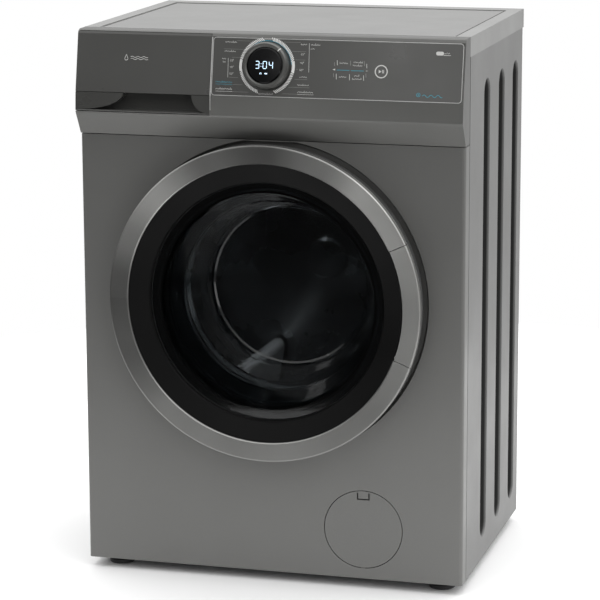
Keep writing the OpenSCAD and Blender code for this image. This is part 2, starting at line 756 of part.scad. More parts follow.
// Ballast block that sits on top of the tub
module counterweight_top() {
    color("#8b8b86") from_panel() difference() {
        block([-80, 112, 640], [160, 218, 772]);
        facing(0, 300, axis_z) cylinder(r = tub_in + tub_t + 0.3, h = 300);
    }
}

module bearings() {
    color("#cfd1d3") from_panel() {
        for (y = [377, 390]) round_door([[shaft_r + 0.05, -y], [bearing_r, -y],
            [bearing_r, -y - 12], [shaft_r + 0.05, -y - 12]]);
        round_door([[shaft_r + 0.3, -372], [bearing_r, -372], [bearing_r, -376], [shaft_r + 0.3, -376]]);
    }
}

// ---- Drum ----

module drum_shell() {
    color("#c8cacc") from_panel() round_door([[drum_r - 1.5, -drum_front_y], [drum_r, -drum_front_y],
        [drum_r, -drum_back_y], [drum_r - 1.5, -drum_back_y]]);
}

// Rolled front of the drum, with its mouth
module drum_front() {
    color("#c8cacc") from_panel() round_door(bent_sheet([[drum_r, 0.2 - drum_front_y], [drum_r, -100],
        [drum_r - 8, -92], [175, -84], [162, -82], [157, -85], [156, -90]], 1.5));
}

// Pressed back of the drum, dished round its hub
module drum_back() {
    color("#c8cacc") from_panel() {
        round_door(bent_sheet([[drum_r, -0.2 - drum_back_y], [drum_r, -362], [drum_r - 6, -366],
            [215, -366], [190, -358], [120, -346], [60, -338], [36, -336], [8, -336]], -1.5));
        round_door([[0, -335.8], [35, -335.8], [35, -332], [30, -330], [0, -329]]);
    }
}

lifter_angles = [60, 180, 300];

// Three hollow-backed paddles on the drum's wall
module drum_lifters() {
    color("#e6e8ea") from_panel() for (a = lifter_angles) intersection() {
        facing(0, 345, axis_z) rotate([0, 0, a - 90]) linear_extrude(225) polygon(concat(
            [[-36, -drum_r - 5], [-36, 3 - drum_r]], arc([0, 62 - drum_r], 12, 160, 20, 6),
            [[36, 3 - drum_r], [36, -drum_r - 5]]));
        facing(0, 400, axis_z) cylinder(r = drum_r - 1.8, h = 400);
    }
}

// Cast three-armed carrier behind the drum, in one piece with the shaft
module drum_spider() {
    color("#9fa2a5") from_panel() {
        facing(0, 369, axis_z) cylinder(r = 38, h = 32);
        facing(0, 402, axis_z) cylinder(r = shaft_r, h = 50);
        facing(0, 420, axis_z) cylinder(r = 10, h = 20);
        for (a = [30, 150, 270]) facing(0, 0, axis_z) rotate([0, 0, a]) rotate([90, 0, 0])
            translate([0, 0, -14]) linear_extrude(28) polygon([[30, -342], [60, -342], [120, -350],
                [190, -362], [204, -366.3], [228, -366.3], [228, -369.5], [30, -369.5]]);
    }
}

module drum_pulley() {
    y = pulley_y;
    color("#b0b3b6") from_panel() round_door([[10.02, -y - 5], [22, -y - 5], [22, -y - 7],
        [pulley_r - 8, -y - 6], [pulley_r - 6, -y], [pulley_r, -y], [pulley_r, -y - pulley_w],
        [pulley_r - 5, -y - pulley_w], [pulley_r - 7, -y - 9], [22, -y - 10], [22, -y - 19], [10.02, -y - 19]]);
}

// ---- Drive ----

motor_r = 58;
belt_air = 0.35;

// Outline of a belt's inner side round both pulleys, grown by t
function belt_loop(t) = let (way = [motor_x, motor_z - axis_z], span = norm(way),
        toward = atan2(way[1], way[0]), r1 = pulley_r + t, r2 = motor_pulley_r + t,
        half = acos((r1 - r2)/span))
    concat(arc([0, 0], r1, toward + half, toward + 360 - half, 40), arc(way, r2, toward - half, toward + half, 8));

module drive_belt() {
    color("#151515") from_panel() facing(0, pulley_y + 14, axis_z) linear_extrude(12) difference() {
        polygon(belt_loop(belt_air + 3));
        polygon(belt_loop(belt_air));
    }
}

module motor() {
    color("#6d7074") from_panel() difference() {
        union() {
            facing(motor_x, 384, motor_z) cylinder(r = motor_r, h = 118);
            facing(motor_x, 270, motor_z) cylinder(r = 30, h = 18);
            for (y = [284, 350]) block([motor_x - 30, y, motor_z + 40], [motor_x + 26, y + 12, 240]);
        }
        facing(0, 400, axis_z) cylinder(r = tub_in + tub_t + 0.3, h = 300);
        facing(motor_x, 390, motor_z) cylinder(r = 6.05, h = 40);
        for (a = [0 : 30 : 330]) facing(motor_x, 390, motor_z) rotate([0, 0, a])
            translate([34, 0, 0]) cylinder(r = 5, h = 20);
    }
}

// The motor's shaft with its small pulley
module motor_pulley() {
    color("#a8abae") from_panel() {
        facing(motor_x, 400, motor_z) cylinder(r = 6, h = 40);
        facing(motor_x, pulley_y + 15, motor_z) cylinder(r = motor_pulley_r, h = 14);
    }
}

// ---- Suspension ----

spring_x = 277;
spring_y = 208;
spring_low = 565;
spring_high = lid_z - 25.6;

// A coil of round wire swept along a helix about Z
module coil(coil_r, wire_r, length, turns) {
    steps = 10;
    sides = 6;
    count = turns*steps;
    rings = [for (i = [0 : count], j = [0 : sides - 1])
        let (a = 360*i/steps, b = 360*j/sides, r = coil_r + wire_r*cos(b))
        [r*cos(a), r*sin(a), wire_r + (length - 2*wire_r)*i/count + wire_r*sin(b)]];
    sides_faces = [for (i = [0 : count - 1], j = [0 : sides - 1])
        let (a = i*sides + j, b = i*sides + (j + 1) % sides)
        each [[a, a + sides, b], [b, a + sides, b + sides]]];
    polyhedron(rings, concat(sides_faces, [[for (j = [0 : sides - 1]) j]],
        [[for (j = [sides - 1 : -1 : 0]) count*sides + j]]));
}

// Two springs that hang the tub from the front crossbar
module springs() {
    color("#8f9296") from_panel() for (s = [-1, 1])
        translate([s*spring_x, spring_y, spring_low]) coil(6.5, 1.5, spring_high - spring_low, 22);
}

damper_y = 186;
damper_low = 26;

// Two friction dampers from the base to the tub
module dampers() {
    color("#2b2d30") from_panel() for (s = [-1, 1]) mirror([s < 0 ? 1 : 0, 0, 0])
        translate([205, damper_y, damper_low]) rotate([0, -14, 0]) {
            cylinder(r = 13, h = 110);
            translate([0, 0, 105]) cylinder(r = 5, h = 100);
            translate([0, 0, 204]) cylinder(r = 8, h = 10);
        }
}

// ---- Water ----

// Heating rod in the trough under the drum, with its rubber plug and terminals
module heater() {
    z = trough_low + 15;
    y0 = tub_split_y + 40;
    y1 = tub_back_y - 2;
    color("#77797c") from_panel() {
        for (s = [-1, 1]) translate([s*16, y0, z]) rotate([-90, 0, 0]) cylinder(r = 3.5, h = y1 - y0 + 2);
        translate([0, y0, z]) rotate([0, 0, 180]) rotate_extrude(angle = 180) translate([16, 0]) circle(3.5);
        block([-23.5, y1, z - 8.5], [23.5, y1 + 14, z + 8.5]);
        for (s = [-1, 1]) block([s*16 - 3, y1 + 13, z - 1], [s*16 + 3, y1 + 24, z + 1]);
    }
}

bay_deep = 32;
stub_z = 148;

// Pump with the bay behind the round cover, the filter's seat and the stub of the sump hose
module drain_pump() {
    color("#3c3f43") from_panel() difference() {
        union() {
            facing(filter_x, 0, filter_z) rotate_extrude() polygon(bent_sheet(
                [[filter_r - 1.4, -3.4], [filter_r - 1.4, -bay_deep], [32, -bay_deep], [32, -108]], -2.2));
            facing(filter_x, 150, filter_z) cylinder(r = 28, h = 45);
            facing(filter_x, 108, filter_z) cylinder(r = 32, h = 4);
            translate([sump_x, sump_y, filter_z]) cylinder(r = 12, h = stub_z - filter_z);
            translate([filter_x, 80, filter_z - 10]) cube([60, 20, 20]);
        }
        facing(filter_x, 104, filter_z) cylinder(r = 29.8, h = 80);
        facing(filter_x, bay_deep - 2.2, filter_z) cylinder(r = filter_r - 3.7, h = 40);
        translate([sump_x, sump_y, filter_z]) cylinder(r = 9, h = 80);
        block([filter_x - 36, 0, filter_z - 70], [filter_x + 36, 24, filter_z - 44]);
    }
}

// Screw-in filter with a finger grip and a strainer
module pump_filter() {
    color("#2f6fb5") from_panel() facing(filter_x, 0, filter_z) {
        rotate_extrude() polygon([[0, -20], [27, -20], [29.4, -22], [29.4, -46], [24, -48], [24, -92], [0, -92]]);
        translate([-25, -3.5, -21]) cube([50, 7, 11]);
    }
}

// Pleated hose from the tub's spout to the pump
module sump_hose() {
    pleats = 5;
    low = stub_z + 0.3;
    high = sump_low - 0.3;
    step = (high - low)/pleats/2;
    color("#1d1f21") from_panel() translate([sump_x, sump_y, 0]) rotate_extrude()
        polygon(concat([[10, low], [12, low]],
            [for (i = [1 : 2*pleats - 1]) [i % 2 == 1 ? 17 : 13, low + i*step]], [[12, high], [10, high]]));
}

cover_r = filter_r - seam_gap;
// Depth and height of the line that the cover folds about
cover_fold_y = -0.1;
cover_fold_z = filter_z - cover_r - 0.1;

// Round cover that folds down about its lower edge, with a push tab at its top
module filter_cover() {
    tab_z = filter_z + cover_r - 8;
    color("#70706e") from_panel() difference() {
        union() {
            facing(filter_x, 3, filter_z) cylinder(r = cover_r, h = 2.8);
            facing(filter_x, 6, filter_z) cylinder(r = 44, h = 4);
            translate([filter_x - 3, cover_fold_y, cover_fold_z]) rotate([0, 90, 0]) cylinder(r = 0.7, h = 6);
        }
        facing(filter_x, 7, filter_z) cylinder(r = 41, h = 4);
        facing(filter_x, 4, tab_z) linear_extrude(6) difference() {
            translate([-10, -6]) square([20, 11]);
            translate([-8, -4]) square([16, 12]);
        }
    }
}

// ---- Feet ----

// One levelling foot on its stud
module foot(x, y) {
    color("#161617") from_panel() translate([x, y, 0]) rotate_extrude() polygon([[0, 0], [foot_r - 1, 0],
        [foot_r, 1], [foot_r, 6], [foot_r - 3, 8], [stud_r, 8.5], [stud_r, 34], [0, 34]]);
}

module foot_front_left() { foot(-foot_x, foot_ys[0]); }
module foot_front_right() { foot(foot_x, foot_ys[0]); }
module foot_rear_left() { foot(-foot_x, foot_ys[1]); }
module foot_rear_right() { foot(foot_x, foot_ys[1]); }

side_panel_left();
side_panel_right();
front_panel();
rear_panel();
rear_cover();
base_pan();
lid_frame();
lid_board();
crossbars();
console_body();
control_fascia();
fascia_trim();
dial_ring();
display_lens();
control_board();
programme_knob();
drawer_front();
drawer_tray();
siphon_cap();
drawer_housing();
inlet_valve();
drain_outlet();
cable_gland();
fasteners();
door_trim_ring();
door_inner_frame();
glass_bowl();
door_back_frame();
hinge_arm();
hinge_bracket();
door_handle();
latch_hook();
door_lock();
gasket();
gasket_clamp();
tub_front();
tub_rear();
counterweight_front();
counterweight_top();
bearings();
drum_shell();
drum_front();
drum_back();
drum_lifters();
drum_spider();
drum_pulley();
drive_belt();
motor();
motor_pulley();
springs();
dampers();
heater();
drain_pump();
pump_filter();
sump_hose();
filter_cover();
foot_front_left();
foot_front_right();
foot_rear_left();
foot_rear_right();
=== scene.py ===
import json
import math

import bmesh
import bpy
from mathutils import Matrix, Vector


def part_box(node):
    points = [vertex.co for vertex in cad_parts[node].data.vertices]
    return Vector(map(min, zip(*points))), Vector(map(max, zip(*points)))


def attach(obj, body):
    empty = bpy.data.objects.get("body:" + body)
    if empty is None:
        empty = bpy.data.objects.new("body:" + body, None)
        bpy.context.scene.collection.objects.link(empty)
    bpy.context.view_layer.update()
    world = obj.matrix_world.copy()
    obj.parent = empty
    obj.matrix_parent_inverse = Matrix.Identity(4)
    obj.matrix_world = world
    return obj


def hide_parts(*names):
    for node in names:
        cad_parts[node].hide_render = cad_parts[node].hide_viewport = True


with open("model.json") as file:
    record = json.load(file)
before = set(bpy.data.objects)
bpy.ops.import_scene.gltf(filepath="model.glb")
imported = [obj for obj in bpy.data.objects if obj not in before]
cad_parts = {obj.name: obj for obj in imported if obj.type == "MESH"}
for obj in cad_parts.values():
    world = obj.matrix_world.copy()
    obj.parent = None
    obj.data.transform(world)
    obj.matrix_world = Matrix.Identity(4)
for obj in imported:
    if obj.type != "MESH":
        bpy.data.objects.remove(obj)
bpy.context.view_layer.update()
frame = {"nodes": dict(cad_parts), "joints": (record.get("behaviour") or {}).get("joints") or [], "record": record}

# A front load washing machine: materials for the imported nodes, the printed marks, the drum's
# perforated wall, studio light and the photograph's camera. Metres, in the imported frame.
record = frame["record"]
nodes = frame["nodes"]
joints = {joint["name"]: joint for joint in frame["joints"]}

MM = 0.001


def srgb(hex_code):
    """A hex colour as the linear colour a shader takes."""
    out = []
    for i in (1, 3, 5):
        c = int(hex_code[i:i + 2], 16) / 255
        out.append(c / 12.92 if c <= 0.04045 else ((c + 0.055) / 1.055) ** 2.4)
    return (*out, 1.0)


def shade(colour, by):
    """A colour made darker or lighter by a factor."""
    return (colour[0] * by, colour[1] * by, colour[2] * by, 1.0)


def grey(level):
    """A neutral colour of one brightness."""
    return (level, level, level, 1)


# ---- Materials ----

# Sockets of a Mix node in its colour mode: both colours and the result
MIX_A, MIX_B, MIX_RESULT = 6, 7, 2


class Look:
    """A Principled material with its nodes, and short ways to wire them."""

    def __init__(self, name):
        self.mat = bpy.data.materials.new(name)
        self.mat.use_nodes = True
        self.tree = self.mat.node_tree
        self.shader = self.tree.nodes["Principled BSDF"]
        coords = self.add("ShaderNodeTexCoord")
        self.place = coords.outputs["Object"]

    def add(self, kind, **values):
        """A new node, with values for its sockets or its settings."""
        node = self.tree.nodes.new(kind)
        for key, value in values.items():
            if key in node.inputs:
                node.inputs[key].default_value = value
            else:
                setattr(node, key, value)
        return node

    def wire(self, source, target):
        self.tree.links.new(source, target)

    def noise(self, scale, detail=3.0, rough=0.55, stretch=(1, 1, 1)):
        """Noise in the object's own space, drawn out along its axes by stretch."""
        mapping = self.add("ShaderNodeMapping")
        mapping.inputs["Scale"].default_value = stretch
        self.wire(self.place, mapping.inputs["Vector"])
        tex = self.add("ShaderNodeTexNoise", Scale=scale, Detail=detail, Roughness=rough)
        self.wire(mapping.outputs["Vector"], tex.inputs["Vector"])
        return tex.outputs["Fac"]

    def ramp(self, fac, low, high, dark, light):
        """A value turned into a colour between dark at low and light at high."""
        ramp = self.add("ShaderNodeValToRGB")
        ramp.color_ramp.elements[0].position = low
        ramp.color_ramp.elements[0].color = dark
        ramp.color_ramp.elements[1].position = high
        ramp.color_ramp.elements[1].color = light
        self.wire(fac, ramp.inputs["Fac"])
        return ramp.outputs["Color"]

    def spread(self, fac, low, high, socket):
        """A noise turned into a range of values on one of the shader's sockets."""
        rng = self.add("ShaderNodeMapRange")
        rng.inputs["From Min"].default_value = 0.3
        rng.inputs["From Max"].default_value = 0.7
        rng.inputs["To Min"].default_value = low
        rng.inputs["To Max"].default_value = high
        self.wire(fac, rng.inputs["Value"])
        self.wire(rng.outputs["Result"], self.shader.inputs[socket])

    def bump(self, *layers):
        """Bump layers of (height, strength, distance in metres), one over another."""
        last = None
        for height, strength, distance in layers:
            node = self.add("ShaderNodeBump")
            node.inputs["Strength"].default_value = strength
            node.inputs["Distance"].default_value = distance
            self.wire(height, node.inputs["Height"])
            if last is not None:
                self.wire(last, node.inputs["Normal"])
            last = node.outputs["Normal"]
        self.wire(last, self.shader.inputs["Normal"])

    def times(self, colour, factor):
        """A colour multiplied by another colour or by a number."""
        mix = self.add("ShaderNodeMix", data_type="RGBA", blend_type="MULTIPLY")
        mix.inputs["Factor"].default_value = 1.0
        self.wire(colour, mix.inputs[MIX_A])
        self.wire(factor, mix.inputs[MIX_B])
        return mix.outputs[MIX_RESULT]

    def worn_edges(self, colour, worn, amount=0.4, radius=0.0012):
        """Mixes a worn colour in along sharp edges, broken up by noise."""
        bevel = self.add("ShaderNodeBevel", samples=4)
        bevel.inputs["Radius"].default_value = radius
        geometry = self.add("ShaderNodeNewGeometry")
        dot = self.add("ShaderNodeVectorMath", operation="DOT_PRODUCT")
        self.wire(bevel.outputs["Normal"], dot.inputs[0])
        self.wire(geometry.outputs["Normal"], dot.inputs[1])
        edge = self.add("ShaderNodeMapRange")
        edge.inputs["From Min"].default_value = 1.0
        edge.inputs["From Max"].default_value = 0.86
        edge.inputs["To Max"].default_value = amount
        self.wire(dot.outputs["Value"], edge.inputs["Value"])
        broken = self.add("ShaderNodeMath", operation="MULTIPLY")
        self.wire(edge.outputs["Result"], broken.inputs[0])
        self.wire(self.noise(60), broken.inputs[1])
        mix = self.add("ShaderNodeMix", data_type="RGBA")
        self.wire(broken.outputs["Value"], mix.inputs["Factor"])
        self.wire(colour, mix.inputs[MIX_A])
        mix.inputs[MIX_B].default_value = worn
        return mix.outputs[MIX_RESULT]


def enamel_look(name, hex_code, rough=0.42, metal=0.0, vary=0.05, coat=0.0):
    """Baked enamel on sheet steel: faint orange peel, fine flake and slow colour drift."""
    look = Look(name)
    base = srgb(hex_code)
    drift = look.noise(3.0, 2.0)
    flake = look.noise(1400.0, 1.0)
    colour = look.ramp(drift, 0.3, 0.7, shade(base, 1 - vary), shade(base, 1 + vary))
    speck = look.ramp(flake, 0.35, 0.75, grey(0.94), grey(1.06))
    worn = look.worn_edges(look.times(colour, speck), shade(base, 1.5), 0.35)
    look.wire(worn, look.shader.inputs["Base Color"])
    look.shader.inputs["Metallic"].default_value = metal
    look.shader.inputs["Coat Weight"].default_value = coat
    look.shader.inputs["Coat Roughness"].default_value = 0.18
    look.spread(look.noise(7.0, 4.0), rough - 0.05, rough + 0.06, "Roughness")
    look.bump((look.noise(420.0, 2.0), 0.05, 0.0004), (look.noise(2500.0, 1.0), 0.04, 0.0001))
    return look


def enamel(name, hex_code, **options):
    """The material of a plain enamelled sheet."""
    return enamel_look(name, hex_code, **options).mat


# Depths below the side panel's face between which painted shade darkens its beads, in metres, and how dark it gets
# at most
BEAD_SHADE_DEPTH = 0.004
BEAD_SHADE_START_DEPTH = 0.0006
BEAD_SHADE_DARKEST = 0.14


def bead_shaded_enamel(name, hex_code, rough, metal):
    """Side panel enamel, with painted shade and less shine towards the bottom of the deep beads."""
    look = enamel_look(name, hex_code, rough=rough, metal=metal)
    parts = look.add("ShaderNodeSeparateXYZ")
    look.wire(look.place, parts.inputs["Vector"])
    side = look.add("ShaderNodeMath", operation="ABSOLUTE")
    look.wire(parts.outputs["X"], side.inputs[0])
    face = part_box("side_panel_right")[1][0]
    # Painted shade: the base colour darkens with depth below the panel's face, as the beads' hollows would be
    # shaded
    level = look.add("ShaderNodeMapRange")
    level.inputs["From Min"].default_value = face - BEAD_SHADE_DEPTH
    level.inputs["From Max"].default_value = face - BEAD_SHADE_START_DEPTH
    level.inputs["To Min"].default_value = BEAD_SHADE_DARKEST
    level.inputs["To Max"].default_value = 1.0
    look.wire(side.outputs["Value"], level.inputs["Value"])
    painted = look.shader.inputs["Base Color"].links[0].from_socket
    look.wire(look.times(painted, level.outputs["Result"]), look.shader.inputs["Base Color"])
    # The shine drops with the painted shade in the beads
    shine = look.add("ShaderNodeMath", operation="MULTIPLY")
    look.wire(level.outputs["Result"], shine.inputs[0])
    shine.inputs[1].default_value = 0.5
    look.wire(shine.outputs["Value"], look.shader.inputs["Specular IOR Level"])
    return look.mat


def plastic(name, hex_code, rough=0.35, grain=900.0, depth=0.06, vary=0.06, metal=0.0, coat=0.0,
            wear=0.3, shine=0.5):
    """Moulded plastic: spark-eroded grain, flow marks and slightly rubbed edges."""
    look = Look(name)
    base = srgb(hex_code)
    flow = look.noise(6.0, 3.0, stretch=(1.0, 1.0, 0.35))
    colour = look.ramp(flow, 0.3, 0.7, shade(base, 1 - vary), shade(base, 1 + vary))
    look.wire(look.worn_edges(colour, shade(base, 1.6), wear), look.shader.inputs["Base Color"])
    look.shader.inputs["Metallic"].default_value = metal
    look.shader.inputs["Coat Weight"].default_value = coat
    look.shader.inputs["Coat Roughness"].default_value = 0.12
    look.shader.inputs["Specular IOR Level"].default_value = shine
    look.spread(look.noise(9.0, 4.0), rough - 0.05, rough + 0.07, "Roughness")
    look.bump((look.noise(grain, 2.0), depth, 0.0003), (look.noise(25.0, 2.0), 0.03, 0.0006))
    return look.mat


def metal(name, hex_code, rough=0.3, brush=(1, 1, 1), grain=300.0, depth=0.08, vary=0.08, level=1.0):
    """Bare metal with grain drawn out along an axis, and smudges in its polish."""
    look = Look(name)
    base = srgb(hex_code)
    streak = look.noise(grain, 4.0, stretch=brush)
    cloud = look.noise(12.0, 3.0)
    colour = look.ramp(streak, 0.25, 0.75, shade(base, 1 - vary), shade(base, 1 + vary))
    look.wire(look.worn_edges(colour, shade(base, 1.25), 0.4), look.shader.inputs["Base Color"])
    look.shader.inputs["Metallic"].default_value = level
    look.spread(cloud, rough - 0.06, rough + 0.1, "Roughness")
    look.bump((streak, depth, 0.0002), (cloud, 0.04, 0.0008))
    return look.mat


def rubber(name, hex_code, rough=0.6):
    """Moulded rubber: dusty bloom, fine pores and a soft sheen."""
    look = Look(name)
    base = srgb(hex_code)
    bloom = look.noise(18.0, 5.0)
    colour = look.ramp(bloom, 0.35, 0.75, shade(base, 0.9), shade(base, 1.25))
    look.wire(colour, look.shader.inputs["Base Color"])
    look.shader.inputs["Sheen Weight"].default_value = 0.15
    look.shader.inputs["Sheen Roughness"].default_value = 0.5
    look.spread(bloom, rough - 0.08, rough + 0.1, "Roughness")
    look.bump((look.noise(1500.0, 2.0), 0.1, 0.0002), (look.noise(80.0, 3.0), 0.05, 0.0005))
    return look.mat


def cast(name, hex_code, rough=0.55, metallic=0.9, depth=0.3):
    """Cast or poured material: sandy skin with small pits."""
    look = Look(name)
    base = srgb(hex_code)
    cloud = look.noise(30.0, 5.0)
    colour = look.ramp(cloud, 0.3, 0.75, shade(base, 0.82), shade(base, 1.12))
    pits = look.add("ShaderNodeTexVoronoi", Scale=450.0)
    look.wire(look.place, pits.inputs["Vector"])
    look.wire(look.worn_edges(colour, shade(base, 1.3), 0.4), look.shader.inputs["Base Color"])
    look.shader.inputs["Metallic"].default_value = metallic
    look.spread(cloud, rough - 0.08, rough + 0.1, "Roughness")
    look.bump((pits.outputs["Distance"], depth, 0.0003), (cloud, 0.15, 0.0008))
    return look.mat


def dark_glass(name, hex_code, clear=0.5, rough=0.03):
    """Thick tinted glass with faint smears in its polish."""
    look = Look(name)
    tint = srgb(hex_code)
    smear = look.noise(5.0, 5.0, stretch=(1, 1, 2.5))
    colour = look.ramp(smear, 0.35, 0.7, shade(tint, 0.9), shade(tint, 1.1))
    look.wire(colour, look.shader.inputs["Base Color"])
    look.shader.inputs["Transmission Weight"].default_value = clear
    look.shader.inputs["IOR"].default_value = 1.45
    look.shader.inputs["Specular IOR Level"].default_value = 0.12
    look.spread(smear, rough, rough + 0.05, "Roughness")
    look.bump((look.noise(6.0, 2.0), 0.03, 0.001),)
    return look.mat


def print_ink(name, hex_code, glow=0.0):
    """Screen-printed ink, slightly uneven; with glow it is lit from behind."""
    look = Look(name)
    base = srgb(hex_code)
    patch = look.noise(700.0, 2.0)
    colour = look.ramp(patch, 0.3, 0.7, shade(base, 0.88), base)
    look.wire(colour, look.shader.inputs["Base Color"])
    look.spread(patch, 0.45, 0.6, "Roughness")
    if glow:
        look.wire(colour, look.shader.inputs["Emission Color"])
        look.shader.inputs["Emission Strength"].default_value = glow
    look.bump((patch, 0.05, 0.0001),)
    return look.mat


SLOT_LOOKS = {
    "side_paint": bead_shaded_enamel("side_paint_bead_shade_look", "#727271", rough=0.45, metal=0.25),
    "front_paint": enamel("front_paint_look", "#6c6c6a", rough=0.42, metal=0.25, coat=0.1),
    "rear_steel": enamel("rear_steel_look", "#85868a", rough=0.5, metal=0.4),
    "bare_steel": metal("bare_steel_look", "#b4b6b8", rough=0.32, brush=(1, 1, 8)),
    "base_plastic": plastic("base_plastic_look", "#2c2e31", rough=0.55),
    "lid_plastic": plastic("lid_plastic_look", "#8e8e8d", rough=0.5, grain=1200.0, depth=0.1,
                           shine=0.25),
    "lid_laminate": plastic("lid_laminate_look", "#7e7e7d", rough=0.48, grain=700.0, depth=0.12,
                            vary=0.03),
    "console_plastic": plastic("console_plastic_look", "#565654", rough=0.36, metal=0.25),
    "fascia_plastic": plastic("fascia_plastic_look", "#4e4e4c", rough=0.3, metal=0.3, coat=0.2,
                              vary=0.03),
    "plated_trim": metal("plated_trim_look", "#c8c8c6", rough=0.34, grain=200.0, level=0.6),
    "display_glass": plastic("display_glass_look", "#050506", rough=0.12, depth=0.01, vary=0.2,
                             shine=0.25),
    "circuit": plastic("circuit_look", "#1f6a40", rough=0.4),
    "knob_plastic": metal("knob_plastic_look", "#5c5c5a", rough=0.28, grain=500.0, level=0.8),
    "tray_plastic": plastic("tray_plastic_look", "#e4e6e8", rough=0.3, vary=0.03),
    "cap_plastic": plastic("cap_plastic_look", "#3d6fb0", rough=0.32),
    "housing_plastic": plastic("housing_plastic_look", "#c9cdd0", rough=0.45),
    "fitting_plastic": plastic("fitting_plastic_look", "#dedddb", rough=0.4),
    "dark_fitting": plastic("dark_fitting_look", "#2a2b2e", rough=0.5),
    "ring_paint": metal("ring_paint_look", "#8c8c8a", rough=0.3, grain=260.0, level=0.75, depth=0.04),
    "door_black": plastic("door_black_look", "#090909", rough=0.42, depth=0.015, vary=0.1, wear=0.1,
                          shine=0.12),
    "door_dark": plastic("door_dark_look", "#505050", rough=0.5, shine=0.3),
    "bowl_glass": dark_glass("bowl_glass_look", "#6e7274", clear=1.0),
    "zinc_cast": cast("zinc_cast_look", "#a9abad"),
    "gasket_rubber": rubber("gasket_rubber_look", "#6f7276"),
    "tub_plastic": plastic("tub_plastic_look", "#b4b8ba", rough=0.5, grain=300.0, depth=0.12),
    "ballast": cast("ballast_look", "#8b8b86", rough=0.85, metallic=0.0, depth=0.6),
    "drum_steel": metal("drum_steel_look", "#c8cacc", rough=0.25, brush=(1, 10, 1)),
    "lifter_plastic": plastic("lifter_plastic_look", "#e6e8ea", rough=0.3),
    "belt_rubber": rubber("belt_rubber_look", "#161616"),
    "motor_shell": cast("motor_shell_look", "#6d7074", rough=0.5),
    "spring_steel": metal("spring_steel_look", "#8f9296", rough=0.3),
    "foot_rubber": rubber("foot_rubber_look", "#141415", rough=0.55),
    "hose_rubber": rubber("hose_rubber_look", "#1d1f21"),
}

WHITE_INK = print_ink("white_ink_look", "#d9d9d6")
DIM_INK = print_ink("dim_ink_look", "#8d8d8a")
TEAL_INK = print_ink("teal_ink_look", "#3f9fb4")
LIT_DIGIT = print_ink("lit_digit_look", "#cfeaff", glow=1.6)
LIT_TEAL = print_ink("lit_teal_look", "#2f9db8", glow=0.25)


def paint(name, material):
    """Gives a CAD node's slots a material."""
    for slot in nodes[name].material_slots:
        slot.material = material


for entry in record["subparts"]:
    paint(entry["node"], SLOT_LOOKS[entry["material_slot"]])


def soften(name, width, segments=2, angle=30):
    """Rounds a CAD node's sharp edges, without touching its mesh."""
    obj = nodes[name]
    bevel = obj.modifiers.new("round", "BEVEL")
    bevel.width = width
    bevel.segments = segments
    bevel.limit_method = "ANGLE"
    bevel.angle_limit = math.radians(angle)
    bevel.miter_outer = "MITER_ARC"
    bevel.harden_normals = False
    normal = obj.modifiers.new("shade", "WEIGHTED_NORMAL")
    normal.keep_sharp = True


for name, width in (
    ("lid_frame", 0.0012), ("lid_board", 0.0008), ("programme_knob", 0.0005),
    ("filter_cover", 0.0005), ("drawer_tray", 0.0006), ("rear_cover", 0.0015),
):
    soften(name, width)

# Painted highlights and shade round the door's ring: brightness by the angle up from its right side in degrees
RING_PAINTED_FANS = ((-180, 0.45), (-160, 0.55), (-130, 1.1), (-90, 1.1), (-45, 0.95), (0, 1.3), (30, 1.9),
             (48, 2.3), (66, 1.2), (90, 0.5), (112, 0.9), (136, 2.2), (155, 1.2), (172, 0.5))


def turned_ring_painted_fans(name, node, hex_code):
    """Satin metal turned on a lathe, with painted highlights and shade that fan out from the door's centre in its
    base colour.
    """
    look = Look(name)
    base = srgb(hex_code)
    low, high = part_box("glass_bowl")
    door_centre = (Vector(low) + Vector(high)) / 2
    centre = nodes[node].matrix_world.inverted() @ door_centre
    mapping = look.add("ShaderNodeMapping")
    mapping.inputs["Rotation"].default_value = (-math.pi / 2, 0, 0)
    mapping.inputs["Location"].default_value = (-centre.x, -centre.z, centre.y)
    look.wire(look.place, mapping.inputs["Vector"])
    angle = look.add("ShaderNodeTexGradient", gradient_type="RADIAL")
    look.wire(mapping.outputs["Vector"], angle.inputs["Vector"])
    # Painted highlights and shade: a colour ramp over the angle round the door lightens and darkens the base
    # colour where reflections would fall
    painted_fans = look.add("ShaderNodeValToRGB")
    painted_fans.color_ramp.interpolation = "EASE"
    stops = painted_fans.color_ramp.elements
    stops.remove(stops[1])
    stops[0].color = shade(base, RING_PAINTED_FANS[0][1])
    # The gradient runs from 0 to 1 once round, and is 0.5 at the ring's right side
    for degrees, level in RING_PAINTED_FANS[1:]:
        stops.new(0.5 + degrees / 360).color = shade(base, level)
    look.wire(angle.outputs["Fac"], painted_fans.inputs["Fac"])
    grooves = look.add("ShaderNodeTexWave", wave_type="RINGS", rings_direction="Z")
    grooves.inputs["Scale"].default_value = 900.0
    grooves.inputs["Distortion"].default_value = 1.5
    look.wire(mapping.outputs["Vector"], grooves.inputs["Vector"])
    streak = look.ramp(grooves.outputs["Fac"], 0.0, 1.0, grey(0.93), grey(1.05))
    worn = look.worn_edges(look.times(painted_fans.outputs["Color"], streak), shade(base, 1.8), 0.3, 0.0007)
    look.wire(worn, look.shader.inputs["Base Color"])
    look.shader.inputs["Metallic"].default_value = 0.75
    look.spread(look.noise(12.0, 3.0), 0.3, 0.38, "Roughness")
    look.bump((grooves.outputs["Fac"], 0.04, 0.0001),)
    return look.mat


# The door's ring and handle both get the painted highlights and shade
for name in ("door_trim_ring", "door_handle"):
    paint(name, turned_ring_painted_fans(name + "_look", name, "#8c8c8a"))

# ---- Shapes ----


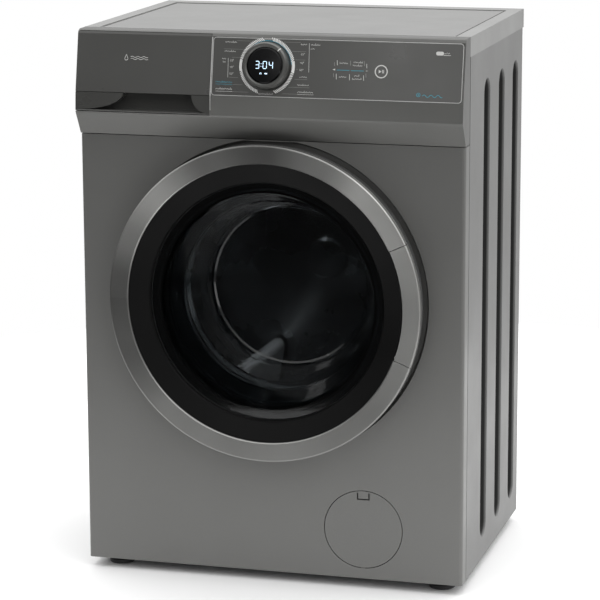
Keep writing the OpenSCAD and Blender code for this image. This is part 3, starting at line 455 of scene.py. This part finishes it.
def mesh_object(name, verts, faces, material, body, slot_name, smooth=False, smooth_angle=35):
    """A mesh with one material that rides on a body; slot_name is not used."""
    mesh = bpy.data.meshes.new(name)
    mesh.from_pydata([tuple(v) for v in verts], [], faces)
    bm = bmesh.new()
    bm.from_mesh(mesh)
    bmesh.ops.recalc_face_normals(bm, faces=bm.faces)
    bm.to_mesh(mesh)
    bm.free()
    mesh.materials.append(material)
    if smooth:
        mesh.shade_smooth()
        mesh.set_sharp_from_angle(angle=math.radians(smooth_angle))
    obj = bpy.data.objects.new(name, mesh)
    bpy.context.scene.collection.objects.link(obj)
    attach(obj, body)
    return obj


class Solid:
    """Gathers closed prisms into one mesh. place maps (across, up, out) in mm to a point in metres."""

    def __init__(self, place):
        self.place = place
        self.verts = []
        self.faces = []

    def prism(self, outline, low, high):
        """A prism over a flat outline of (across, up) points, between two heights."""
        first = len(self.verts)
        count = len(outline)
        for out in (low, high):
            self.verts += [self.place(across, up, out) for across, up in outline]
        self.faces.append(list(range(first + count - 1, first - 1, -1)))
        self.faces.append(list(range(first + count, first + 2 * count)))
        for i in range(count):
            j = (i + 1) % count
            self.faces.append([first + i, first + j, first + count + j, first + count + i])

    def stroke(self, a, b, width, low, high):
        """A straight stroke from a to b."""
        a, b = Vector(a), Vector(b)
        side = (b - a).normalized().orthogonal() * width / 2
        self.prism([a + side, b + side, b - side, a - side][::-1], low, high)

    def ring(self, centre, r0, r1, a0, a1, low, high, step=6.0):
        """A flat arc band between two radii and two angles, in steps of so many degrees."""
        turn = a1 - a0
        count = max(2, round(abs(turn) / step))
        whole = abs(turn) > 359.9
        first = len(self.verts)
        for i in range(count if whole else count + 1):
            a = math.radians(a0 + turn * i / count)
            for r, out in ((r0, low), (r1, low), (r1, high), (r0, high)):
                self.verts.append(self.place(centre[0] + r * math.cos(a), centre[1] + r * math.sin(a), out))
        for i in range(count):
            p = first + 4 * i
            q = first + 4 * ((i + 1) % count if whole else i + 1)
            for k in range(4):
                m = (k + 1) % 4
                self.faces.append([p + k, q + k, q + m, p + m])
        if not whole:
            self.faces.append([first, first + 1, first + 2, first + 3])
            last = first + 4 * count
            self.faces.append([last + 3, last + 2, last + 1, last])

    def make(self, name, material, body, slot_name, **options):
        """Makes the gathered prisms into one object."""
        return mesh_object(name, self.verts, self.faces, material, body, slot_name, **options)


knob = joints["knob_turn"]
DIAL = Vector(knob["pos_m"])
OUT = Vector(knob["axis"]).normalized()
ACROSS = Vector((1, 0, 0))
UP = OUT.cross(ACROSS)


def on_fascia(x, v, out):
    """A point on the fascia: mm right of the dial's centre, mm up its slope, mm out of its face."""
    return DIAL + (ACROSS * x + UP * v + OUT * out) * MM


# Ring of ticks round the dial: smooth at both sides, open at the top and the bottom. Angles in
# degrees from its right side, lengths in mm
dial_r = (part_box("dial_ring")[1][0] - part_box("dial_ring")[0][0]) / 2 / MM
TICK_BANDS = ((99, 168), (192, 252), (288, 348), (12, 81))
SMOOTH_BANDS = ((-12, 12), (168, 192))
TICK_PITCH = 3.7
TICK_LEAN = math.radians(2.2)
TICK_WIDTH = 1.35
MIDDLE = (0, 0)
# Height at which marks start above the fascia, so that they don't share its face
CLEAR = 0.02
ticks = Solid(on_fascia)
seat = Solid(on_fascia)
for start, end in TICK_BANDS:
    seat.ring(MIDDLE, dial_r - 4.6, dial_r - 0.9, start, end, CLEAR, 0.55)
    count = round((end - start) / TICK_PITCH)
    for i in range(count):
        a = math.radians(start + (end - start) * (i + 0.5) / count)
        outer = Vector((math.cos(a + TICK_LEAN), math.sin(a + TICK_LEAN))) * (dial_r - 0.3)
        inner = Vector((math.cos(a - TICK_LEAN), math.sin(a - TICK_LEAN))) * (dial_r - 4.9)
        ticks.stroke(inner, outer, TICK_WIDTH, 0.3, 1.45)
for start, end in SMOOTH_BANDS:
    ticks.ring(MIDDLE, dial_r - 4.4, dial_r - 0.2, start, end, CLEAR, 1.3, step=3)
ticks.make("dial_ticks", plastic("tick_look", "#f0f0ee", rough=0.35, wear=0.0), "cabinet", "plated_trim")
tick_seat = seat.make("dial_seat", SLOT_LOOKS["knob_plastic"], "cabinet", "plated_trim")
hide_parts("dial_ring")

glow = Solid(on_fascia)
glow.ring(MIDDLE, dial_r - 5.6, dial_r - 5.0, 5, 128, CLEAR, 0.7)
glow.make("dial_glow", LIT_TEAL, "cabinet", "display_glass")

# Printed marks: mm right of the dial's centre and mm up the fascia, between these two heights
LOW, HIGH = 0.03, 0.14
white = Solid(on_fascia)
dim = Solid(on_fascia)
teal = Solid(on_fascia)

# Lit segments of each digit, named a to g as on a seven-segment display
SEGMENTS = {
    "0": "abcdef", "1": "bc", "2": "abged", "3": "abgcd", "4": "fgbc", "5": "afgcd", "6": "afgedc",
    "7": "abc", "8": "abcdefg", "9": "abfgcd",
}


def digit(solid, char, x, v, wide, tall, thick, low, high):
    """A seven-segment digit with its lower left corner at (x, v)."""
    gap = thick * 0.12
    mid = v + tall / 2
    ends = {
        "a": ((x, v + tall), (x + wide, v + tall)), "g": ((x, mid), (x + wide, mid)),
        "d": ((x, v), (x + wide, v)),
        "f": ((x, mid), (x, v + tall)), "b": ((x + wide, mid), (x + wide, v + tall)),
        "e": ((x, v), (x, mid)), "c": ((x + wide, v), (x + wide, mid)),
    }
    for key in SEGMENTS[char]:
        a, b = Vector(ends[key][0]), Vector(ends[key][1])
        along = (b - a).normalized() * (gap + thick * 0.45)
        solid.stroke(a + along, b - along, thick, low, high)


# Widths in mm, and heights as a share of the label's, that a greeked label's marks run through
MARK_WIDTHS = (1.1, 0.8, 1.3, 0.7)
MARK_HEIGHTS = (1.0, 0.62, 0.62, 1.25, 0.62)
MARK_SPACE = 0.65


def scribble(solid, x0, x1, v, tall=2.2, seed=0):
    """A row of upright marks that stands for a printed label without spelling anything."""
    x, i = x0, seed
    while x < x1 - 0.9:
        wide = MARK_WIDTHS[i % 4]
        high = tall * MARK_HEIGHTS[i % 5]
        middle = x + wide / 2
        if i % 2:
            solid.ring((middle, v + high / 2), 0.38 * wide, 0.38 * wide + 0.4, 0, 360, LOW, HIGH, 45)
        else:
            solid.stroke((middle, v), (middle, v + high), 0.55, LOW, HIGH)
        x += wide + MARK_SPACE
        i += 1


DIGIT_PITCH = 2.4


def number(solid, text, x, v, tall=2.6):
    """A small number with a degree sign after it."""
    for i, char in enumerate(text):
        digit(solid, char, x + i * DIGIT_PITCH, v, 1.4, tall, 0.5, LOW, HIGH)
    solid.ring((x + len(text) * DIGIT_PITCH + 0.2, v + tall), 0.3, 0.62, 0, 360, LOW, HIGH, 60)


def line(solid, x0, x1, v, width=0.42):
    """A level line."""
    solid.stroke((x0, v), (x1, v), width, LOW, HIGH)


def trail(solid, points, width):
    """Strokes from each point to the next."""
    for a, b in zip(points, points[1:]):
        solid.stroke(a, b, width, LOW, HIGH)


# Left of the dial
line(dim, -48, -22, 36.5)
scribble(white, -66, -48.5, 33.4, seed=1)
line(dim, -68, -33, 23.8)
scribble(white, -67, -49, 19.6, seed=2)
line(dim, -55, -39, 11.6)
for text, v in (("20", 5.6), ("40", -4.2), ("60", -14.0)):
    number(white, text, -57.5, v)
line(dim, -58, -44, -18.3)
scribble(white, -70, -63.5, 8.2, seed=3)
scribble(white, -69, -63.5, 3.6, seed=0)
white.stroke((-60.8, 10.5), (-60.2, -18.5), 0.5, LOW, HIGH)
scribble(teal, -79, -53, -26.4, seed=2)
line(teal, -79, -53, -28.9)
line(dim, -52.5, -37, -28.9)
scribble(white, -78.5, -52, -36.8, tall=2.6, seed=4)
line(white, -78.5, -52, -39.4)
line(dim, -51.5, -27, -39.6)

# Right of the dial
line(dim, 24, 50, 36.4)
scribble(white, 50.5, 60, 32.6, seed=0)
line(dim, 37, 59, 22.9)
number(white, "20", 51.5, 17.6)
line(dim, 42, 58.5, 10.6)
number(white, "40", 51, 4.8)
line(dim, 43.5, 48, -3.3)
number(white, "60", 50.5, -5.6)
scribble(white, 51, 62, -15.6, seed=1)
line(dim, 43, 62.5, -18.2)
scribble(white, 48, 66, -27.6, seed=3)
line(dim, 34, 66.5, -30.2)
scribble(white, 48.5, 73.5, -38.2, tall=2.6, seed=2)
line(white, 48.5, 73.5, -40.4)
line(dim, 25.5, 48, -40.2)
white.stroke((63.4, 35.6), (64.4, -7.4), 0.5, LOW, HIGH)
scribble(white, 66, 81, 32.4, tall=2.4, seed=4)
scribble(white, 66, 72, 26.4, seed=1)

# In the ring's gaps
scribble(white, -5.6, 5.8, dial_r - 4.4, tall=2.4, seed=1)
scribble(white, -11.5, 11.8, -dial_r + 0.6, tall=2.2, seed=0)

# Option keys: dividers, two teal lines and greeked labels
for x, v0, v1, mark in (
    (103.5, 3.2, 8.6, dim), (107.6, 4.4, 11.8, white), (127.8, 4.6, 11.6, dim), (148.8, 4.6, 11.6, dim),
    (152.6, 1.4, 7.6, white), (102.8, -13.2, -7.4, dim), (107.0, -16.4, -8.2, white),
    (127.2, -17.2, -8.4, white), (148.6, -17.0, -9.4, white), (152.0, -12.4, -6.6, dim),
):
    mark.stroke((x, v0), (x - 0.5, v1), 0.75, LOW, HIGH)
white.prism([(100.4, -2.0), (104.6, -3.4), (104.6, -0.6)], LOW, HIGH)
dim.prism([(155.4, -2.6), (151.4, -1.2), (151.4, -4.0)], LOW, HIGH)
line(teal, 107.2, 126.2, -2.6, 0.8)
line(teal, 128.6, 148.2, -2.9, 0.8)
scribble(white, 111, 124.5, 6.6, tall=2.8, seed=0)
scribble(white, 132, 146, 8.4, tall=2.4, seed=2)
scribble(white, 131.5, 146, 3.6, tall=2.4, seed=3)
scribble(white, 111, 122, -13.6, tall=2.6, seed=1)
scribble(white, 134, 143, -11.4, tall=2.4, seed=4)
scribble(white, 131, 145.5, -16.2, tall=2.4, seed=0)

# Start and pause key
START_X, START_V = 174.6, -3.0
white.ring((START_X, START_V), 8.2, 9.8, 0, 360, LOW, HIGH, 8)
white.prism([(START_X - 3.8, START_V - 2.6), (START_X + 0.4, START_V), (START_X - 3.8, START_V + 2.6)],
            LOW, HIGH)
for x in (1.9, 3.7):
    white.stroke((START_X + x, START_V - 2.5), (START_X + x, START_V + 2.5), 0.9, LOW, HIGH)

# Plain badges at the right: a white capsule, and a teal ring with a wave
PILL_X, PILL_V = 261.6, 26.0
pill = []
for end, first_angle in ((1, -90), (-1, 90)):
    for k in range(10):
        a = math.radians(first_angle + 20 * k)
        pill.append((PILL_X + 3.4 * end + 2.4 * math.cos(a), PILL_V + 2.8 * math.sin(a)))
white.prism(pill, LOW, HIGH)
scribble(white, 268.5, 277, 25.2, tall=2.6, seed=1)
line(white, 267, 278, 23.4, 0.7)
BUBBLE = (232, -35.4)
teal.ring(BUBBLE, 2.4, 3.1, 0, 360, LOW, HIGH, 15)
teal.ring(BUBBLE, 0.2, 1.0, 0, 360, LOW, HIGH, 30)
trail(teal, [(238 + 1.5 * i, -36.8 + 1.9 * math.sin(i * 0.9)) for i in range(21)], 0.8)

white.make("panel_marks", WHITE_INK, "cabinet", "fascia_plastic")
dim.make("panel_lines", DIM_INK, "cabinet", "fascia_plastic")
teal.make("panel_accents", TEAL_INK, "cabinet", "fascia_plastic")

# Display: time to run in seven-segment digits, with two small signs under it. The lens's face
# stands this many mm out of the fascia
LENS_FACE = 16.0
LIT_LOW, LIT_HIGH = LENS_FACE + 0.02, LENS_FACE + 0.1
shown = Solid(on_fascia)
TALL, WIDE, THICK = 10.6, 5.4, 0.8
for char, x in (("3", -13.4), ("0", -1.8), ("4", 7.6)):
    digit(shown, char, x, -4.8, WIDE, TALL, THICK, LIT_LOW, LIT_HIGH)
COLON_X, DOT_R = -4.9, 0.5
for v in (-1.6, 2.4):
    corners = [k * math.pi / 4 for k in range(8)]
    dot = [(COLON_X + DOT_R * math.cos(a), v + DOT_R * math.sin(a)) for a in corners]
    shown.prism(dot, LIT_LOW, LIT_HIGH)
shown.ring((-5.2, -12.4), 0.9, 1.5, -60, 240, LIT_LOW, LIT_HIGH, 30)
shown.stroke((1.2, -12.2), (5.0, -12.2), 1.6, LIT_LOW, LIT_HIGH)
shown.make("display_digits", LIT_DIGIT, "cabinet", "display_glass")

# White pointer on the knob's face, which runs on down its flank
pointer = Solid(on_fascia)
POINTER_ANGLE = math.radians(47)
POINTER_HALF_WIDTH = 0.75
POINTER_SUNK, POINTER_PROUD = -0.2, 0.08
POINTER_CORNERS = ((-1, POINTER_SUNK), (1, POINTER_SUNK), (1, POINTER_PROUD), (-1, POINTER_PROUD))
along = Vector((math.cos(POINTER_ANGLE), math.sin(POINTER_ANGLE)))
across = Vector((-along.y, along.x)) * POINTER_HALF_WIDTH
# Radius and height of each stretch's two ends: across the face, then down the flank
FACE_STRETCH = ((29.4, 17.0), (32.6, 17.0))
FLANK_STRETCH = ((32.5, 17.0), (34.9, 14.0))
BOX_FACES = ((0, 1, 2, 3), (7, 6, 5, 4), (0, 4, 5, 1), (1, 5, 6, 2), (2, 6, 7, 3), (3, 7, 4, 0))
for stretch in (FACE_STRETCH, FLANK_STRETCH):
    first = len(pointer.verts)
    for r, h in stretch:
        for side, rise in POINTER_CORNERS:
            at = along * r + across * side
            pointer.verts.append(on_fascia(at.x, at.y, h + rise))
    pointer.faces += [[first + k for k in face] for face in BOX_FACES]
pointer.make("knob_pointer", WHITE_INK, "knob", "knob_plastic")

# Generic sign of a drop and two waves on the drawer's face
drop = Solid(on_fascia)
DROP_X, DROP_V = -221, 7
SIGN_WIDTH = 0.7
outline = []
for k in range(24):
    a = k * 2 * math.pi / 24
    outline.append((DROP_X + 3.0 * math.sin(a) * (1 - math.cos(a)) / 1.6, DROP_V + 4.4 * math.cos(a)))
trail(drop, outline + outline[:1], SIGN_WIDTH)
for v in (DROP_V + 0.8, DROP_V - 2.4):
    trail(drop, [(DROP_X + 7 + 1.6 * i, v + 1.0 * math.sin(i * 1.1)) for i in range(18)], SIGN_WIDTH)
drop.make("drawer_mark", WHITE_INK, "drawer", "fascia_plastic")

# ---- Drum ----

AXIS = Vector(joints["drum_spin"]["pos_m"])
shell_low, shell_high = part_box("drum_shell")
SHELL_R = (shell_high[0] - shell_low[0]) / 2


def round_axis(r, angle, y):
    """A point at a radius and an angle in radians about the drum's axis."""
    return (AXIS.x + r * math.cos(angle), y, AXIS.z + r * math.sin(angle))


def perforated_shell():
    """The drum's wall as cells that each have an eight-sided hole, and a plain band at both ends."""
    rows, columns, hole = 14, 120, 0.0021
    y0, y1 = shell_low[1], shell_high[1]
    margin = 0.012
    inset = 0.0003
    pitch = (y1 - y0 - 2 * margin) / rows
    turn = 2 * math.pi / columns
    r = SHELL_R - inset
    verts, faces = [], []
    grid = {}

    def corner(i, j):
        key = (i % columns, j)
        if key not in grid:
            grid[key] = len(verts)
            y = y0 if j < 0 else y1 if j > rows else y0 + margin + pitch * j
            verts.append(round_axis(r, turn * key[0], y))
        return grid[key]

    for i in range(columns):
        for j in (-1, rows):
            faces.append([corner(i, j), corner(i + 1, j), corner(i + 1, j + 1), corner(i, j + 1)])
        for j in range(rows):
            mid_angle, mid_y = turn * (i + 0.5), y0 + margin + pitch * (j + 0.5)
            first = len(verts)
            for k in range(8):
                a = math.pi / 8 + math.pi / 4 * k
                verts.append(round_axis(r, mid_angle + hole * math.cos(a) / r, mid_y + hole * math.sin(a)))
            ring = [first + k for k in range(8)]
            c = [corner(i + 1, j + 1), corner(i, j + 1), corner(i, j), corner(i + 1, j)]
            for k in range(4):
                a, b = c[k], c[(k + 1) % 4]
                faces.append([a, b, ring[(2 * k + 2) % 8], ring[2 * k + 1]])
                faces.append([a, ring[2 * k + 1], ring[2 * k]])
    return verts, faces


verts, faces = perforated_shell()
shell = mesh_object("drum_wall", verts, faces, SLOT_LOOKS["drum_steel"], "drum", "drum_steel",
                    smooth=True, smooth_angle=40)
DRUM_SHEET = 0.0011
thick = shell.modifiers.new("thick", "SOLIDIFY")
thick.thickness = DRUM_SHEET
thick.offset = 0
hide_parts("drum_shell")

# ---- Stage ----

FLOOR_R = 1.5
FLOOR_AT = (0, 0.2, -0.0004)
bpy.ops.mesh.primitive_circle_add(vertices=96, radius=FLOOR_R, fill_type="NGON", location=FLOOR_AT)
floor = bpy.context.object
floor.name = "floor"
floor_look = Look("floor_look")
floor_look.wire(floor_look.ramp(floor_look.noise(0.7), 0.3, 0.7, grey(0.93), grey(0.95)),
                floor_look.shader.inputs["Base Color"])
floor_look.shader.inputs["Roughness"].default_value = 0.9
floor_look.shader.inputs["Specular IOR Level"].default_value = 0.1
floor.data.materials.append(floor_look.mat)

world = bpy.data.worlds.new("studio")
bpy.context.scene.world = world
world.use_nodes = True
tree = world.node_tree
tree.nodes.clear()
output = tree.nodes.new("ShaderNodeOutputWorld")
seen = tree.nodes.new("ShaderNodeBackground")
seen.inputs["Color"].default_value = grey(1)
lit = tree.nodes.new("ShaderNodeBackground")
coord = tree.nodes.new("ShaderNodeTexCoord")


def dome(direction, low, high):
    """A soft lobe of light about a direction."""
    dot = tree.nodes.new("ShaderNodeVectorMath")
    dot.operation = "DOT_PRODUCT"
    tree.links.new(coord.outputs["Generated"], dot.inputs[0])
    dot.inputs[1].default_value = Vector(direction).normalized()
    rng = tree.nodes.new("ShaderNodeMapRange")
    rng.interpolation_type = "SMOOTHSTEP"
    rng.inputs["From Min"].default_value = low
    rng.inputs["From Max"].default_value = high
    tree.links.new(dot.outputs["Value"], rng.inputs["Value"])
    return rng.outputs["Result"]


# Lobes of light from above, the right and behind: direction, where each starts and is full, strength
LOBES = (
    ((0, 0, 1), 0.0, 1.0, 1.7),
    ((1, 0.25, 0.2), 0.1, 0.95, 0.65),
    ((0, 1, 0.3), 0.0, 1.0, 0.5),
)
# Light that comes from everywhere
AMBIENT = 0.05

total = None
for direction, low, high, strength in LOBES:
    part = tree.nodes.new("ShaderNodeMath")
    part.operation = "MULTIPLY"
    tree.links.new(dome(direction, low, high), part.inputs[0])
    part.inputs[1].default_value = strength
    if total is None:
        total = part.outputs["Value"]
    else:
        both = tree.nodes.new("ShaderNodeMath")
        tree.links.new(total, both.inputs[0])
        tree.links.new(part.outputs["Value"], both.inputs[1])
        total = both.outputs["Value"]
lift = tree.nodes.new("ShaderNodeMath")
lift.inputs[1].default_value = AMBIENT
tree.links.new(total, lift.inputs[0])
tree.links.new(lift.outputs["Value"], lit.inputs["Strength"])
lit.inputs["Color"].default_value = grey(1)
path = tree.nodes.new("ShaderNodeLightPath")
choose = tree.nodes.new("ShaderNodeMixShader")
tree.links.new(path.outputs["Is Camera Ray"], choose.inputs["Fac"])
tree.links.new(lit.outputs["Background"], choose.inputs[1])
tree.links.new(seen.outputs["Background"], choose.inputs[2])
tree.links.new(choose.outputs["Shader"], output.inputs["Surface"])


def area(name, place, aim, size, power, tall=None):
    """A square lamp, or an oblong one when tall is given, that faces a point."""
    data = bpy.data.lights.new(name, "AREA")
    data.energy = power
    data.size = size
    if tall:
        data.shape = "RECTANGLE"
        data.size_y = tall
    lamp = bpy.data.objects.new(name, data)
    bpy.context.scene.collection.objects.link(lamp)
    lamp.location = place
    lamp.rotation_euler = (Vector(aim) - Vector(place)).to_track_quat("-Z", "Y").to_euler()
    return lamp


area("front_fill", (-2.6, -2.6, 2.2), (0, 0, 0.4), 0.8, 6.5)
area("right_low", (1.5, -1.9, 0.35), (0.1, -0.2, 0.25), 0.7, 3.0)
area("fascia_sheen", (-0.35, -3.0, 1.55), (0.3, -0.2, 0.8), 0.5, 2.0)

# A strip of light for the face under the console's lip, which the door would shade
under_lip = area("under_lip", (0, -0.45, 0.59), (0, -0.21, 0.71), 0.55, 0.8, tall=0.08)
under_lip.visible_camera = False
under_lip.visible_glossy = False
lit_part = bpy.data.collections.new("lit_from_below")
lit_part.objects.link(nodes["console_body"])
under_lip.light_linking.receiver_collection = lit_part

# A small lamp inside the drum, which is seen only by what it lights
drum_glow = area("drum_glow", (0.03, -0.06, 0.58), (-0.20, 0.08, 0.43), 0.08, 0.7)
drum_glow.visible_camera = False
drum_glow.visible_transmission = False
drum_glow.visible_glossy = False

# ---- Camera ----

# Where the photograph was taken from, and how the camera turns left, dips and rolls, in radians
CAMERA_AT = Vector((1.1183, -4.0594, 1.3035))
TURN, DIP, ROLL = 0.2712, 0.2106, -0.0040

camera_data = bpy.data.cameras.new("camera")
camera_data.lens = 162.4
camera_data.sensor_width = 36
camera_data.clip_end = 100
camera = bpy.data.objects.new("camera", camera_data)
bpy.context.scene.collection.objects.link(camera)
ahead = Vector((-math.sin(TURN) * math.cos(DIP), math.cos(TURN) * math.cos(DIP), -math.sin(DIP)))
level = Vector((math.cos(TURN), math.sin(TURN), 0))
upright = level.cross(ahead)
right = level * math.cos(ROLL) + upright * math.sin(ROLL)
above = upright * math.cos(ROLL) - level * math.sin(ROLL)
camera.matrix_world = Matrix.Translation(CAMERA_AT) @ Matrix((right, above, -ahead)).transposed().to_4x4()
bpy.context.scene.camera = camera
bpy.context.scene.view_settings.view_transform = "Standard"
